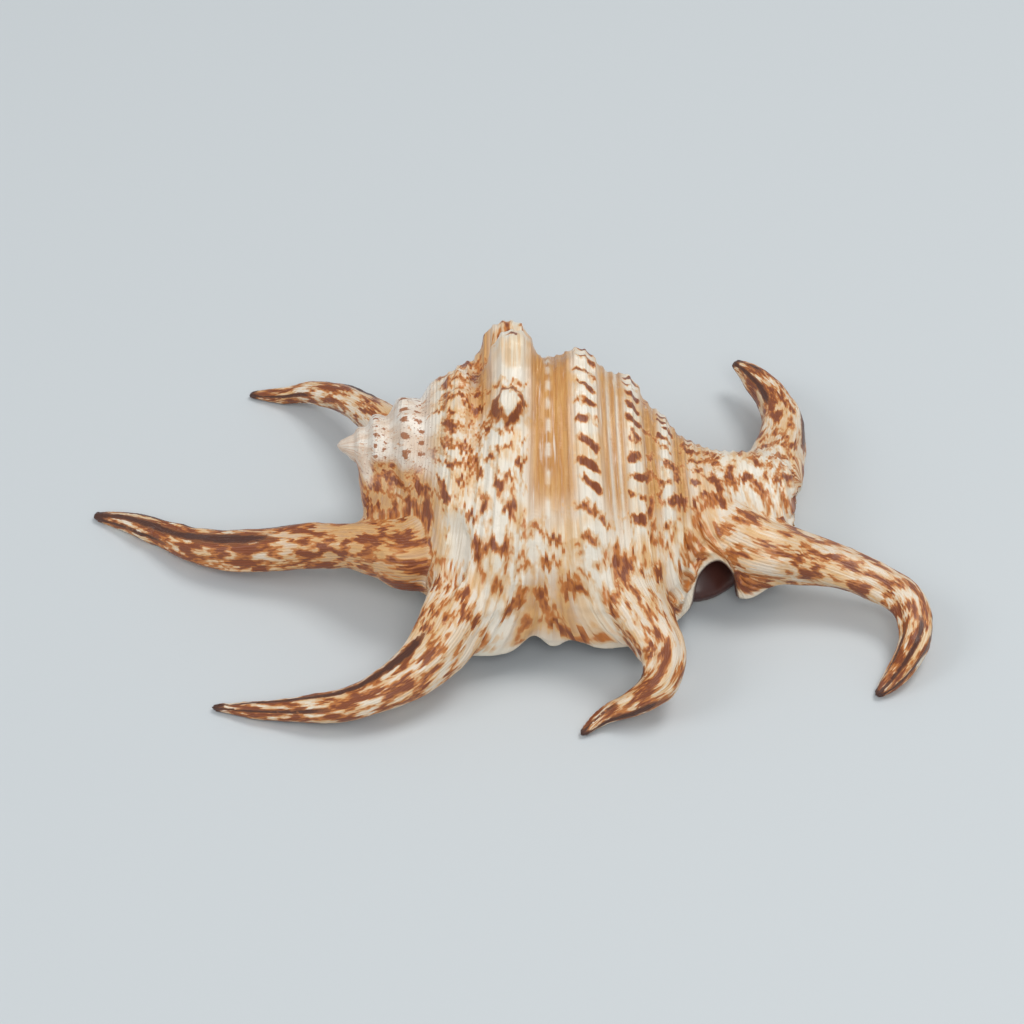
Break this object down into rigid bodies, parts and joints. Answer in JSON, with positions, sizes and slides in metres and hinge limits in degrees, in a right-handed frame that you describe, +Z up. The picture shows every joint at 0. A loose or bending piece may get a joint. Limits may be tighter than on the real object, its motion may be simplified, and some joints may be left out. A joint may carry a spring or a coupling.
{
  "type": "spider conch shell",
  "caption": "Spider conch sea shell lying aperture down: a knobbed, ribbed body whorl with a short spire, a flared lip and long hooked fingers round its edge.",
  "frame": {"origin": "on the surface the shell lies on, under the middle of its outline seen from above", "axes": "+X along the coil's axis from the spire to the siphonal canal, +Y from the outer lip to the back, +Z up"},
  "size_m": [0.2032, 0.1202, 0.0553],
  "materials": {
    "shell": "semi-gloss cream shell mottled with rust brown and banded with tan"
  },
  "bodies": {
    "root": {"shell": "shell"}
  },
  "joints": []
}
